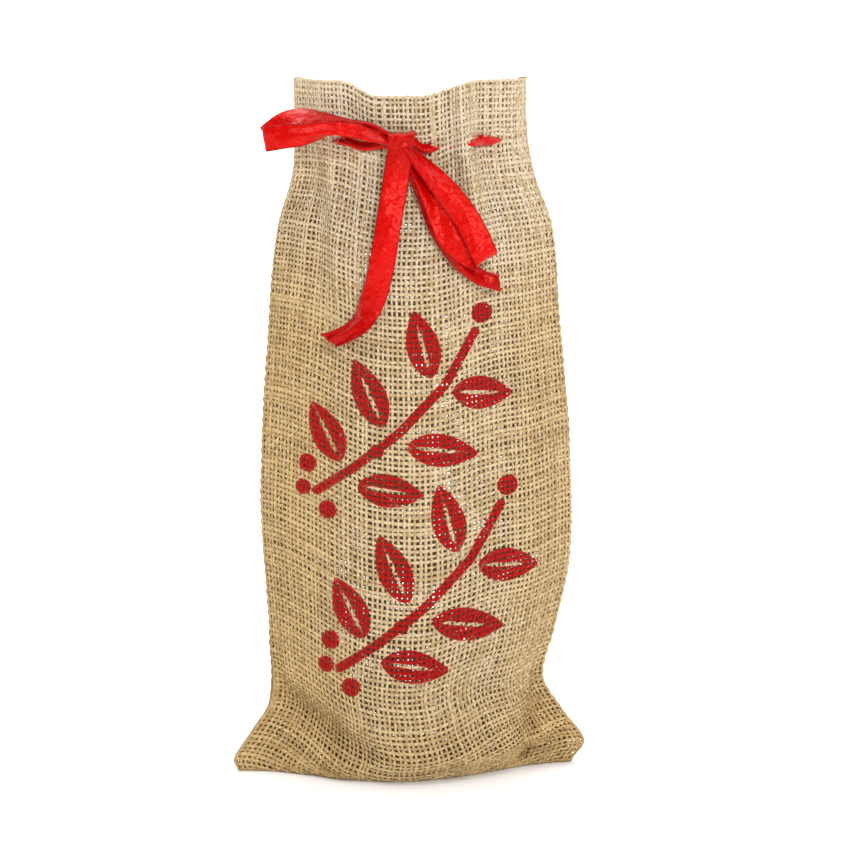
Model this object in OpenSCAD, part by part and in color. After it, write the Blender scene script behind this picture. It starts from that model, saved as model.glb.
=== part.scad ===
// Wine gift bag: a flat-sewn hessian pouch that stands open, with a satin drawstring
// threaded through its neck and tied in a bow. Millimetres, +Z up, front towards -Y.
// The origin lies on the underside, at the middle of the base.

/* [Bag] */
// Height of the side seams above the table
bag_h = 304; // [290:1:320]
// Half depth of the filled body, front or back
body_depth = 39; // [37:0.5:44]
// Half depth of the gathered neck
neck_depth = 28; // [26:0.5:32]
// How far the front of the mouth dips below the seams
front_dip = 6.5; // [4:0.5:10]
// How far the back of the mouth dips below the seams
back_dip = 13.5; // [8:0.5:15]
// Thickness of the hessian
cloth_t = 1.2; // [1:0.1:1.5]

/* [Hem and seams] */
// Depth of the turned-in hem
hem_h = 22; // [20:0.5:23]
// Width of the seam margins inside the bag
margin_w = 8; // [6:0.5:10]
// Thickness of a sewing thread
thread_d = 0.5; // [0.4:0.1:0.7]

/* [Ribbon] */
// Width of the satin ribbon
ribbon_w = 10; // [8:0.5:12]
// Thickness of the ribbon
ribbon_t = 0.5; // [0.4:0.1:0.6]
// Height of the drawstring above the table
ribbon_z = 278.5; // [276:0.5:279]
// Height of the ribbon where it is bunched up in the slots
bunched_h = 4; // [3:0.1:4.4]

/* [Hidden] */

front = -1;
back = 1;
jute = "burlywood";
thread = "tan";
satin = "red";

columns = 30;       // steps across a panel
clear = 0.3;        // gap between pieces that lie against each other
half_seam = 1.3;    // half thickness of the cloth at a side seam

// ---- Outline of the pouch: [height, distance from the middle plane] ----
left_edge = [[0, 76], [5, 77.5], [17, 69.5], [30, 61.5], [58, 62], [120, 65.6], [200, 61.7],
    [240, 57.6], [262, 51.3], [280, 50], [304, 50.4]];
right_edge = [[0, 71], [10, 76.5], [24, 67], [40, 58], [62, 63], [95, 69.6], [150, 68.8],
    [200, 64.6], [240, 61.2], [262, 53.6], [280, 50.2], [304, 49.8]];
// Share of the full depth, and how much the section thins towards its seams
depth_share = [[0, 0.78], [9, 0.95], [30, 1], [180, 1], [225, 0.93], [262, 0.74], [304, 0.76]];
thinning = [[0, 2.2], [18, 1.9], [50, 1.05], [200, 1], [262, 0.7], [304, 0.6]];
// The left corner of the base is drawn forward and the right one back
left_corner_y = -13;
right_corner_y = 4;
corner_h = 48;
// Folds of the neck: [place across the panel, width, depth outwards]
front_folds = [[-0.74, 0.13, 3.4], [-0.9, 0.07, -2.2], [0.47, 0.1, 4.2], [0.68, 0.14, -2.6]];
back_folds = [[-0.5, 0.14, 4], [-0.72, 0.12, -2.6], [0.1, 0.16, -2.5], [0.6, 0.13, 4]];
fold_start = 205;
dip_start = 255;

function clamp(v, low, high) = min(max(v, low), high);
function smooth(v) = let(s = clamp(v, 0, 1)) s * s * (3 - 2 * s);
function bump(v) = exp(-v * v);

// Smooth curve through a table of [position, value]
function interval(table, p, i = 0) =
    i >= len(table) - 2 || p < table[i + 1][0] ? i : interval(table, p, i + 1);
function steepness(table, i) =
    i == 0 || i == len(table) - 1 ? 0
    : (table[i + 1][1] - table[i - 1][1]) / (table[i + 1][0] - table[i - 1][0]);
function curve(table, p) =
    let(
        i = interval(table, p),
        h = table[i + 1][0] - table[i][0],
        s = clamp((p - table[i][0]) / h, 0, 1)
    )
    table[i][1] * (1 + 2 * s) * (1 - s) ^ 2 + table[i + 1][1] * s ^ 2 * (3 - 2 * s)
    + h * s * (1 - s) * (steepness(table, i) * (1 - s) - steepness(table, i + 1) * s);

// ---- Surface of the pouch; t runs from -1 at the left seam to 1 at the right one ----
function z_table(z) = z * 304 / bag_h;
function edge_x(t, z) = t < 0 ? -curve(left_edge, z_table(z)) : curve(right_edge, z_table(z));
function middle_x(z) = (edge_x(1, z) + edge_x(-1, z)) / 2;
function half_x(z) = (edge_x(1, z) - edge_x(-1, z)) / 2;
function seam_y(t, z) =
    (left_corner_y * (1 - t) + right_corner_y * (1 + t)) / 2 * smooth(1 - z / corner_h);
function fold_sum(folds, t) = len(folds) == 0 ? 0 : [for (f = folds) f[2] * bump((t - f[0]) / f[1])]
    * [for (f = folds) 1];
function full_depth(z) =
    let(share = curve(depth_share, z_table(z)), neck = smooth((z - 190) / 72))
    share * (body_depth * (1 - neck) + neck_depth / 0.75 * neck);
function depth(side, t, z) =
    half_seam
    + full_depth(z) * max(0, 1 - t * t) ^ curve(thinning, z_table(z))
    + fold_sum(side == front ? front_folds : back_folds, t)
        * smooth((z - fold_start) / 55) * smooth((1 - abs(t)) * 12);
function dip(side, t, z) =
    -smooth((z - dip_start) / (bag_h - dip_start))
    * (side == front ? front_dip * smooth((t + 0.6) / 0.32) * smooth((0.6 - t) / 0.52)
        : back_dip * smooth((1 - t * t) * 1.2));
// A point of the cloth, inset by the given amount from its outer face
function skin(side, t, z, inset = 0) = [
    middle_x(z) + (half_x(z) - inset) * t,
    seam_y(t, z) + side * max(depth(side, t, z) - inset, clear / 2),
    z + dip(side, t, z)
];
function across(a = -1, b = 1, n = columns) = [for (i = [0:n]) a + (b - a) * i / n];

// ---- Solids from grids of points ----
// rows[i][j]: each row is a closed outline, and the rows are joined and capped.
// The cap of a row pairs its points from both ends, as suits a thin outline.
function quad(a, b, c, d) = [[a, b, c], [a, c, d]];
module strip_solid(rows) {
    n = len(rows[0]);
    last = (len(rows) - 1) * n;
    sides = [for (i = [0:len(rows) - 2], j = [0:n - 1])
        each quad(i * n + j, i * n + (j + 1) % n, (i + 1) * n + (j + 1) % n, (i + 1) * n + j)];
    caps = [for (j = [0:n / 2 - 2]) each concat(
        quad(n - 1 - j, n - 2 - j, j + 1, j),
        quad(last + j, last + j + 1, last + n - 2 - j, last + n - 1 - j)
    )];
    polyhedron(points = [for (r = rows) each r], faces = concat(sides, caps), convexity = 8);
}
function flip(list, wanted) = wanted ? [for (i = [len(list) - 1:-1:0]) list[i]] : list;

// ---- Panels ----
hem_levels = [for (i = [0:3]) bag_h - hem_h * (1 - i / 3)];
levels = concat(
    [0, 3, 7, 12, 18, 25, 33, 42, 52, 64, 80],
    [for (z = [100:20:220]) z],
    [for (z = [230:8:270]) z],
    hem_levels
);

// One column of a panel: up its outer face, down its inner face, and in along the base
function panel_column(side, t) = concat(
    [[skin(side, t, 0)[0], seam_y(t, 0) + side * 0.05, 0]],
    [for (z = levels) skin(side, t, z)],
    [for (i = [len(levels) - 1:-1:1]) skin(side, t, levels[i], cloth_t)],
    [let(p = skin(side, t, 0, cloth_t)) [p[0], p[1], cloth_t]],
    [[skin(side, t, 0, cloth_t)[0], seam_y(t, 0) + side * 0.05, cloth_t]]
);

// Slots that the ribbon passes through: [side, place across the panel]
slots = [
    [front, -0.62], [front, 0.22], [front, 0.5], [front, 0.74],
    [back, -0.7], [back, -0.3], [back, 0.3], [back, 0.7]
];
slot_l = 5.4;
module slot_cuts(side) {
    for (s = slots) if (s[0] == side) {
        p = skin(side, s[1], ribbon_z, cloth_t / 2);
        q = skin(side, s[1] + 0.02, ribbon_z, cloth_t / 2);
        translate([p[0], p[1], ribbon_z + dip(s[0], s[1], ribbon_z)])
            rotate([0, 0, atan2(q[1] - p[1], q[0] - p[0])])
                cube([slot_l, 3 * cloth_t, bunched_h + 1.2], center = true);
    }
}

module panel(side) {
    difference() {
        strip_solid([for (t = flip(across(), side == front)) panel_column(side, t)]);
        slot_cuts(side);
    }
}
module front_panel() { color(jute) panel(front); }
module back_panel() { color(jute) panel(back); }

// ---- Hem: folded over the rim and turned down inside ----
hem_reach = 1 - 2 / columns;
hem_gap = 0.45;
function hem_column(side, t) =
    let(
        gap = cloth_t + hem_gap,
        rim = skin(side, t, bag_h),
        rim_in = skin(side, t, bag_h, gap),
        lift = [0, 0, 0.2],
        top = [0, 0, cloth_t]
    )
    concat(
        [for (z = hem_levels) skin(side, t, z, gap)],
        [rim_in + lift, rim + lift, rim + top, skin(side, t, bag_h, gap + cloth_t) + top],
        [for (i = [3:-1:0]) skin(side, t, hem_levels[i], gap + cloth_t)]
    );
module hem(side) {
    stations = flip(across(-hem_reach, hem_reach, columns - 2), side == front);
    color(jute) strip_solid([for (t = stations) hem_column(side, t)]);
}
module front_hem() { hem(front); }
module back_hem() { hem(back); }

// ---- Running stitches that hold the hem ----
stitch_l = 3.2;
stitch_step = 0.09;
module hem_stitches(side) {
    z = bag_h - hem_h + 3;
    color(thread) for (t = [-0.9:stitch_step:0.9]) {
        p = skin(side, t, z, -thread_d);
        q = skin(side, t + 0.01, z, -thread_d);
        translate(p) rotate([0, 0, atan2(q[1] - p[1], q[0] - p[0])]) rotate([0, 90, 0])
            cylinder(h = stitch_l, d = thread_d, center = true, $fn = 8);
    }
}
module front_hem_stitching() { hem_stitches(front); }
module back_hem_stitching() { hem_stitches(back); }

// ---- Seam margins inside, two layers of cloth thick ----
margin_t = 1.8;
margin_inset = 2.6;
margin_low = 52;
margin_high = bag_h - hem_h - 14;
function margin_row(hand, z, half_t) =
    let(outer = edge_x(hand, z) - hand * margin_inset, y = seam_y(hand, z))
    [[outer, y - half_t, z], [outer, y + half_t, z],
     [outer - hand * margin_w, y + half_t, z], [outer - hand * margin_w, y - half_t, z]];
module side_margin(hand) {
    color(jute) strip_solid([for (i = [0:12])
        flip(margin_row(hand, margin_low + (margin_high - margin_low) * i / 12, margin_t / 2), hand > 0)]);
}
module left_seam_margin() { side_margin(-1); }
module right_seam_margin() { side_margin(1); }

bottom_reach = 0.72;
function bottom_row(t) =
    let(x = skin(front, t, 0)[0], y = seam_y(t, 0), z = cloth_t + 0.1)
    [[x, y - margin_w / 2, z], [x, y + margin_w / 2, z],
     [x, y + margin_w / 2, z + margin_t], [x, y - margin_w / 2, z + margin_t]];
module bottom_seam_margin() {
    color(jute) strip_solid([for (t = across(-bottom_reach, bottom_reach, 12)) flip(bottom_row(t), true)]);
}

// ---- Overlock threads across the margins ----
overlock_step = 6;
module side_overlock(hand) {
    color(thread) for (z = [margin_low + 4:overlock_step:margin_high - 4], face = [-1, 1])
        translate([edge_x(hand, z) - hand * (margin_inset + margin_w / 2),
                seam_y(hand, z) + face * (margin_t + thread_d + 0.1) / 2, z])
            rotate([0, 90 - hand * 25, 0]) cylinder(h = margin_w - 1, d = thread_d, center = true, $fn = 8);
}
module left_seam_stitching() { side_overlock(-1); }
module right_seam_stitching() { side_overlock(1); }
module bottom_seam_stitching() {
    color(thread) for (t = across(-bottom_reach + 0.03, bottom_reach - 0.03, 18))
        translate([skin(front, t, 0)[0], seam_y(t, 0), cloth_t + margin_t + thread_d / 2 + 0.15])
            rotate([90, 0, 25]) cylinder(h = margin_w - 1.5, d = thread_d, center = true, $fn = 8);
}

// ---- Ribbon: a strip swept along a path ----
function unit(v) = v / norm(v);
// Smooth path through hand-chosen points, each [x, y, z, lean]
function catmull(a, b, c, d, s) =
    (2 * b + (c - a) * s + (2 * a - 5 * b + 4 * c - d) * s ^ 2 + (3 * b - a - 3 * c + d) * s ^ 3) / 2;
function rounded(points, steps) =
    let(last = len(points) - 1)
    concat(
        [for (i = [0:last - 1], s = [0:steps - 1])
            catmull(points[max(i - 1, 0)], points[i], points[i + 1], points[min(i + 2, last)], s / steps)],
        [points[last]]
    );
function place(p) = [p[0], p[1], p[2]];
// The strip's width stands across its path, near the upright or level direction given
module ribbon(path, upright, w = ribbon_w, t = ribbon_t) {
    last = len(path) - 1;
    strip_solid([for (i = [0:last])
        let(
            p = place(path[i]),
            along = unit(place(path[min(i + 1, last)]) - place(path[max(i - 1, 0)])),
            lean = path[i][3],
            aim = upright * cos(lean) + cross(along, upright) * sin(lean),
            wide = unit(aim - along * (aim * along)) * w / 2,
            thick = unit(cross(along, wide)) * t / 2
        )
        [p - wide - thick, p - wide + thick, p + wide + thick, p + wide - thick]
    ]);
}

// ---- Drawstring: round the neck, out and in through the slots ----
ride_out = cloth_t + 1.2;
// A station round the neck: its side, its place across, and 1 outside the cloth or -1 inside it
function drawn(side, t, out) =
    let(p = skin(side, t, ribbon_z, cloth_t / 2 - out * ride_out)) [p[0], p[1], p[2], 0];
slot_half = 0.035;
function crossing(side, t, before) =
    let(d = side == front ? slot_half : -slot_half)
    [drawn(side, t - d, before), drawn(side, t + d, -before)];
round_x = 42.2;
round_right = [for (y = [-6, 0, 6]) [round_x, y, ribbon_z, 0]];
round_left = [for (y = [6, 0, -6]) [-round_x, y, ribbon_z, 0]];
drawstring_path = concat(
    crossing(front, 0.22, 1), crossing(front, 0.5, -1),
    [drawn(front, 0.62, 1)],
    crossing(front, 0.74, 1),
    [drawn(front, 0.82, -1)],
    round_right,
    [drawn(back, 0.8, -1)],
    crossing(back, 0.7, -1), [drawn(back, 0.5, 1)], crossing(back, 0.3, 1),
    [drawn(back, 0.1, -1), drawn(back, -0.1, -1)],
    crossing(back, -0.3, -1), [drawn(back, -0.5, 1)], crossing(back, -0.7, 1),
    [drawn(back, -0.8, -1)],
    round_left,
    [drawn(front, -0.78, -1)],
    crossing(front, -0.62, -1)
);
module bunched(path) { color(satin) ribbon(path, [0, 0, 1], bunched_h, 0.9); }
module drawstring() { bunched(rounded(drawstring_path, 2)); }

// The two visible runs between the bow and its nearest slots
knot = [-4.2, -32.5, 278.2];
knot_size = [9, 4.5, 7.5];
// The end of a run at the knot's left or right side
function at_knot(hand) = [knot[0] + hand * (knot_size[0] / 2 + 0.4), knot[1] + 1.6, knot[2] - 1.4, 0];
left_run = [drawn(front, -0.55, 1), drawn(front, -0.4, 1.1), at_knot(-1)];
right_run = [at_knot(1), drawn(front, 0.1, 1.1), drawn(front, 0.16, 1)];
module left_lead() { bunched(rounded(left_run, 3)); }
module right_lead() { bunched(rounded(right_run, 3)); }

// ---- Bow ----
knot_round = 2;
module bow_knot() {
    color(satin) translate(knot) hull() for (x = [-1, 1], z = [-1, 1])
        translate([x * (knot_size[0] / 2 - knot_round), 0, z * (knot_size[2] / 2 - knot_round)])
            scale([1, knot_size[1] / (2 * knot_round), 1]) sphere(r = knot_round, $fn = 24);
}
// The left loop lies nearly level; its rear run twists to face upwards and crosses behind the front one
left_loop_path = [
    [-10.5, -34, 280.5, 0], [-17, -32.5, 283, 10], [-25, -31, 284, 25], [-32, -29.5, 285.5, 42],
    [-39, -27.5, 288, 52], [-46, -26, 289.5, 54], [-52.5, -25.5, 287.5, 40], [-57.5, -26, 283.5, 24],
    [-61.5, -27, 280, 10], [-62, -30, 279.5, 4], [-53.5, -33, 281.5, 2], [-46, -35, 282, 8],
    [-39, -36, 282.5, 20], [-32, -36.5, 282.5, 34], [-25, -37, 282, 40], [-17, -37, 281, 26],
    [-11, -36.5, 280, 8]
];
// The right loop hangs down along the cloth, its front run to the right of its rear one
right_loop_path = [
    [5, -37, 269, 0], [11, -39.5, 263, 0], [17.5, -41.5, 255.5, 0], [23.5, -43, 247.5, 0],
    [28, -44.5, 239.5, 0], [30.5, -46, 234, 0], [32, -45.5, 230.5, 0], [31, -43.5, 229.5, 0],
    [28, -42, 230, 0], [24, -41.5, 232, 0], [19.5, -41.5, 235.5, 0], [15.5, -41, 241, 0],
    [12, -39.5, 249, 0], [8.5, -37.5, 257, 0], [4.5, -35.5, 265.5, 0]
];
// The long tail comes over the front of the knot; the short one hangs behind the right loop
long_tail_path = [
    [-4, -35.5, 282.5, 0], [-4.5, -36, 275, 0], [-6, -35.5, 264, 0], [-7, -36, 257.5, 2],
    [-9, -37, 245.5, 4], [-11, -39, 233, 6], [-13.5, -39.5, 220.5, 12], [-16.5, -39, 210.5, 22],
    [-20.5, -38, 202.5, 38], [-26, -36.5, 197, 54], [-32, -34.5, 194, 64], [-38, -32, 192.5, 68]
];
short_tail_path = [
    [-0.5, -32.5, 271, 0], [3.5, -33.5, 263.5, 0], [8.5, -35, 253.5, 0], [12.5, -36.5, 243.5, 0],
    [17.5, -38, 234.5, 6], [23, -38.5, 226.5, 16], [29.5, -38, 221.5, 30], [36, -37, 219, 40],
    [40.5, -35.5, 217, 44]
];
module left_loop() { color(satin) ribbon(rounded(left_loop_path, 3), [0, 0, 1]); }
module right_loop() { color(satin) ribbon(rounded(right_loop_path, 3), [0.85, 0, 0.52]); }
module long_tail() { color(satin) ribbon(rounded(long_tail_path, 3), [1, 0, 0]); }
module short_tail() { color(satin) ribbon(rounded(short_tail_path, 3), [0.9, 0, 0.43]); }

front_panel();
back_panel();
front_hem();
back_hem();
front_hem_stitching();
back_hem_stitching();
left_seam_margin();
right_seam_margin();
bottom_seam_margin();
left_seam_stitching();
right_seam_stitching();
bottom_seam_stitching();
drawstring();
left_lead();
right_lead();
bow_knot();
left_loop();
right_loop();
long_tail();
short_tail();
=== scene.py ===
import math

import bpy
import numpy as np
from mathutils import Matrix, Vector


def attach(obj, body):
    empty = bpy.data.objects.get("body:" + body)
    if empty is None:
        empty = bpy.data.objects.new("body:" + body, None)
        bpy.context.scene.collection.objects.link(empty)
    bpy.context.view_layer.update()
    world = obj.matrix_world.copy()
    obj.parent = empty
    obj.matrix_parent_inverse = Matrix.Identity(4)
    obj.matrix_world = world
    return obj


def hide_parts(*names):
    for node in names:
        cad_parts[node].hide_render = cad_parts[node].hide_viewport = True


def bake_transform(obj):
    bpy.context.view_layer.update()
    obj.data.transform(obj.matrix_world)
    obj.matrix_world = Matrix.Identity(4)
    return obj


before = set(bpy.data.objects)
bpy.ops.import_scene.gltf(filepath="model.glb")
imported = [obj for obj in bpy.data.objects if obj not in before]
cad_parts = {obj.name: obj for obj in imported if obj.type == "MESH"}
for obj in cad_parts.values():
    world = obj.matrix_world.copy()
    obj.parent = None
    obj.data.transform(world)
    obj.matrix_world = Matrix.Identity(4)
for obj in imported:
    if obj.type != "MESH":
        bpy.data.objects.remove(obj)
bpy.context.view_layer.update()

# Sizes are in millimetres, as in the CAD, and become metres where a mesh is made.
MM = 0.001
FRONT, BACK = -1, 1
rng = np.random.default_rng(20)

# ---- The pouch's outline, as in the CAD ----
BAG_H = 304.0
BODY_DEPTH = 39.0      # from the seams' plane to the outer face, where the body is deepest
NECK_DEPTH = 28.0
NECK_START, NECK_END = 190, 262    # heights between which the body narrows into the neck
NECK_SHARE = 0.75      # about what DEPTH_SHARE says from NECK_END up
FRONT_DIP = 6.5        # how far the rim sags in the middle
BACK_DIP = 13.5
DIP_START = 255.0      # the height from which the sag grows
FOLD_START, FOLD_RISE = 205.0, 55  # the height from which the neck's folds grow, and for how long
HALF_SEAM = 1.3
LEAST_OUT = 0.15       # the middle of the cloth stays this far from the seams' plane
# The side seams, as [height, distance from the middle plane]
LEFT_EDGE = [[0, 76], [5, 77.5], [17, 69.5], [30, 61.5], [58, 62], [120, 65.6], [200, 61.7],
             [240, 57.6], [262, 51.3], [280, 50], [304, 50.4]]
RIGHT_EDGE = [[0, 71], [10, 76.5], [24, 67], [40, 58], [62, 63], [95, 69.6], [150, 68.8],
              [200, 64.6], [240, 61.2], [262, 53.6], [280, 50.2], [304, 49.8]]
# By height: the share of the depth, and how fast a section thins out towards the seams
DEPTH_SHARE = [[0, 0.78], [9, 0.95], [30, 1], [180, 1], [225, 0.93], [262, 0.74], [304, 0.76]]
THINNING = [[0, 2.2], [18, 1.9], [50, 1.05], [200, 1], [262, 0.7], [304, 0.6]]
# How far the base's corners are swung to the front or the back, and up to which height
LEFT_CORNER_Y, RIGHT_CORNER_Y, CORNER_H = -13, 4, 48
# Folds of the neck, as [t, half width along t, height outwards]
FRONT_FOLDS = [[-0.74, 0.13, 3.4], [-0.9, 0.07, -2.2], [0.47, 0.1, 4.2], [0.68, 0.14, -2.6]]
BACK_FOLDS = [[-0.5, 0.14, 4], [-0.72, 0.12, -2.6], [0.1, 0.16, -2.5], [0.6, 0.13, 4]]
# Creases: from [x, z], to [x, z], half width, height outwards
FRONT_CREASES = [
    [[20, 304], [24, 272], 3.0, 2.0],
    [[24, 272], [29, 245], 4.0, 2.2],
    [[27, 304], [31, 262], 2.6, -2.4],
    [[-34, 270], [-31, 214], 3.2, 4.0],
    [[-41, 272], [-40, 226], 4.6, -5.4],
    [[-50, 228], [-34, 190], 7.0, -2.4],
    [[-34, 222], [-20, 196], 7.0, -1.6],
    [[-29, 304], [-31, 292], 2.6, 2.2],
    [[-60, 37], [-20, 13], 5.0, -6.0],
    [[-54, 46], [-14, 24], 7.0, 2.6],
    [[-54, 20], [-30, 5], 5.5, 2.8],
    [[56.5, 41], [49.5, 8], 3.8, -7.0],
    [[46, 52], [42, 14], 6.0, 2.0],
    [[52, 7], [67, 14], 2.4, -4.6],
    [[49, 12], [69, 21], 3.2, 3.0],
    [[30, 62], [47, 34], 8.0, 1.5],
    [[8, 232], [30, 205], 9.0, -1.0],
    [[-52, 150], [-40, 110], 10.0, -1.2],
]
BACK_CREASES = [
    [[-30, 302], [-26, 240], 4.0, 2.4],
    [[34, 300], [36, 246], 3.5, -2.2],
    [[-52, 44], [-14, 16], 7.0, -3.2],
    [[56, 40], [20, 12], 6.5, -3.2],
    [[10, 170], [26, 120], 10.0, -1.4],
]

# ---- Cloth ----
WARP_STEP = 2.2    # distance between warp yarns, across the panel
WEFT_STEP = 2.42   # distance between weft yarns, along it
PANEL_W = 155.0
COLUMNS = round(PANEL_W / WARP_STEP)
ROWS = 137
HEM_ROWS = 9
HEM_H = 22.0
CLOTH_T = 1.2
CLOTH_IN = 0.6     # the middle of the cloth lies this far inside its outer face
UNEVEN = 0.5       # how far the cloth swells and sinks
CRIMP = 0.36       # how far a yarn rises and sinks at a crossing
WARP_WANDER, WEFT_WANDER = 0.16, 0.17    # how far a yarn strays sideways in the weave
YARN_T = 0.42      # half thickness of a yarn
FRONT_YARN = 0.7   # half width of a warp yarn in the front panel and everywhere else
BACK_YARN = 1.0    # half width of a warp yarn in the back panel
WEFT_FULLER = 1.06 # how much wider a weft yarn is than a warp yarn
REST_H = 0.85      # height of the middle of the cloth where it rests on the table
YARN_SIDES = 5     # faces round a yarn
THREAD_SIDES = 6   # and round a sewing thread
FIBRE_SIDES = 3    # and round a loose fibre
HEM_GAP = 1.75     # from the middle of the panel's cloth to the middle of the hem's
HEM_RISE = 0.5     # how far the hem's fold stands above the rim
THREAD_R = 0.27    # half thickness of the sewing thread
RIBBON_W = 10.5
RIBBON_T = 0.24
RIBBON_Z = 278.5   # height of the drawstring
PARTING = 1.1      # how far the weave is pushed apart above and below the ribbon
PARTED_X, PARTED_Z = 2.6, 6    # how far that reaches, across and along the panel
PARTED_SOFT = 1.3  # how soft its change from down to up is


def smooth(v):
    s = np.clip(v, 0, 1)
    return s * s * (3 - 2 * s)


def bump(v):
    return np.exp(-np.square(v))


def unit(v):
    return v / np.maximum(np.linalg.norm(v, axis=-1, keepdims=True), 1e-9)


def curve(table, p):
    """A smooth curve through a table of [position, value], read at p."""
    x, y = np.array(table, float).T
    slope = np.zeros(len(x))
    slope[1:-1] = (y[2:] - y[:-2]) / (x[2:] - x[:-2])
    i = np.clip(np.searchsorted(x, p, side="right") - 1, 0, len(x) - 2)
    h = x[i + 1] - x[i]
    s = np.clip((p - x[i]) / h, 0, 1)
    ends = y[i] * (1 + 2 * s) * (1 - s) ** 2 + y[i + 1] * s ** 2 * (3 - 2 * s)
    return ends + h * s * (1 - s) * (slope[i] * (1 - s) - slope[i + 1] * s)


def bell(span, reach):
    """A bell curve of weights, span wide and cut off at reach steps either way."""
    return np.exp(-0.5 * (np.arange(-reach, reach + 1) / span) ** 2)


def spread(field, axis, kernel):
    """A field convolved along one axis, its ends mirrored."""
    pad = [(0, 0), (0, 0)]
    pad[axis] = (len(kernel) // 2, len(kernel) // 2)
    padded = np.pad(field, pad, mode="symmetric")
    return np.apply_along_axis(lambda line: np.convolve(line, kernel, "valid"), axis, padded)


def wobble(rows, columns, spans):
    """A smooth random field, about -2 to 2, that changes over spans steps of the grid.

    With a span of 0 it jumps from one step to the next."""
    field = rng.standard_normal((rows, columns))
    for axis, span in enumerate(spans):
        if span > 0:
            kernel = bell(span, int(3 * span) + 1)
            kernel /= math.sqrt((kernel ** 2).sum())
            field = spread(field, axis, kernel)
    return field


def to_segment(x, z, a, b):
    """The distance from x, z to the segment from a to b, and how far along it that is."""
    dx, dz = b[0] - a[0], b[1] - a[1]
    s = np.clip(((x - a[0]) * dx + (z - a[1]) * dz) / (dx * dx + dz * dz), 0, 1)
    return np.hypot(x - a[0] - dx * s, z - a[1] - dz * s), s


# ---- Surface of the pouch; t runs from -1 at the left seam to 1 at the right one ----
def place_x(t, z):
    left, right = -curve(LEFT_EDGE, z), curve(RIGHT_EDGE, z)
    return (left + right) / 2 + (right - left) / 2 * t


def seam_y(t, z):
    """The y of the seams' plane, which the corners of the base swing to the front or back."""
    return (LEFT_CORNER_Y * (1 - t) + RIGHT_CORNER_Y * (1 + t)) / 2 * smooth(1 - z / CORNER_H)


def full_depth(z):
    neck = smooth((z - NECK_START) / (NECK_END - NECK_START))
    return curve(DEPTH_SHARE, z) * (BODY_DEPTH * (1 - neck) + NECK_DEPTH / NECK_SHARE * neck)


def depth(side, t, z):
    """How far the outer face stands out from the seams' plane."""
    folds = FRONT_FOLDS if side == FRONT else BACK_FOLDS
    fold = sum(f[2] * bump((t - f[0]) / f[1]) for f in folds)
    # The folds fade out next to the side seams.
    fold = fold * smooth((z - FOLD_START) / FOLD_RISE) * smooth((1 - abs(t)) * 12)
    section = np.maximum(0, 1 - t * t) ** curve(THINNING, z)
    return HALF_SEAM + full_depth(z) * section + fold


def dip(side, t, z):
    """How far the cloth sinks where the rim sags: mid-front, and all along the back."""
    if side == FRONT:
        across = FRONT_DIP * smooth((t + 0.6) / 0.32) * smooth((0.6 - t) / 0.52)
    else:
        across = BACK_DIP * smooth((1 - t * t) * 1.2)
    return -smooth((z - DIP_START) / (BAG_H - DIP_START)) * across


def creasing(side, t, z):
    """How far the creases push the cloth outwards."""
    x = place_x(t, z)
    lift = 0
    for a, b, half_w, height in (FRONT_CREASES if side == FRONT else BACK_CREASES):
        lift = lift + height * bump(to_segment(x, z, a, b)[0] / half_w)
    return lift * smooth((1 - abs(t)) * 9)


def skin(side, t, z, inset=CLOTH_IN):
    """The point of the cloth at t and height z, inset from its outer face."""
    t, z = np.broadcast_arrays(np.asarray(t, float), np.asarray(z, float))
    out = np.maximum(depth(side, t, z) + creasing(side, t, z) - inset, LEAST_OUT)
    return np.stack([place_x(t, z), seam_y(t, z) + side * out, z + dip(side, t, z)], axis=-1)


def resample(lines, count, even):
    """Points spaced evenly along each line of an array (lines, points, 3).

    even is the number of lines over which the places of the points are then evened out."""
    index = np.arange(lines.shape[1])
    at = np.empty((len(lines), count))
    for i, line in enumerate(lines):
        along = np.concatenate([[0], np.cumsum(np.linalg.norm(np.diff(line, axis=0), axis=1))])
        at[i] = np.interp(np.linspace(0, along[-1], count), along, index)
    kernel = bell(even, 3 * even)
    at = spread(at, 0, kernel / kernel.sum())
    out = np.empty((len(lines), count, 3))
    for i, line in enumerate(lines):
        for k in range(3):
            out[i, :, k] = np.interp(at[i], index, line[:, k])
    return out


def cloth_grid(side):
    """The panel's cloth as a grid (rows, columns) with two steps to each yarn.

    Row 0 is the bottom seam. The cloth runs out along the base and up to the rim."""
    t = np.linspace(-1, 1, 361)
    foot = np.linspace(0, 1, 9)[:-1, None]
    base_out = depth(side, t, REST_H) + creasing(side, t, REST_H) - CLOTH_IN
    base_y = seam_y(t, 0) + side * foot * base_out
    base = np.stack([np.broadcast_to(place_x(t, 0), base_y.shape), base_y,
                     np.full_like(base_y, REST_H)], axis=-1)
    z = np.concatenate([np.linspace(REST_H, 30, 30), np.linspace(31, BAG_H, 150)])[:, None]
    wall = skin(side, t[None, :], z)
    columns = np.concatenate([base, wall]).transpose(1, 0, 2)
    rows = resample(columns, 2 * ROWS + 1, even=24).transpose(1, 0, 2)
    grid = resample(rows, 2 * COLUMNS + 1, even=8)
    # The cloth is uneven, except near its seams and from the ribbon up.
    step = np.arange(2 * COLUMNS + 1)
    loose = smooth(np.arange(2 * ROWS + 1) / 30)[:, None] * smooth((270 - grid[..., 2]) / 25)
    loose = loose * smooth(np.minimum(step, step[::-1]) / 12)
    grid[..., 1] += side * UNEVEN * loose * wobble(2 * ROWS + 1, 2 * COLUMNS + 1, (9, 9))
    return part_for_ribbon(side, grid)


# Where the ribbon goes through the weave, as t
SLOTS = {FRONT: [-0.62, 0.22, 0.5, 0.74], BACK: [-0.7, -0.3, 0.3, 0.7]}


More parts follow.
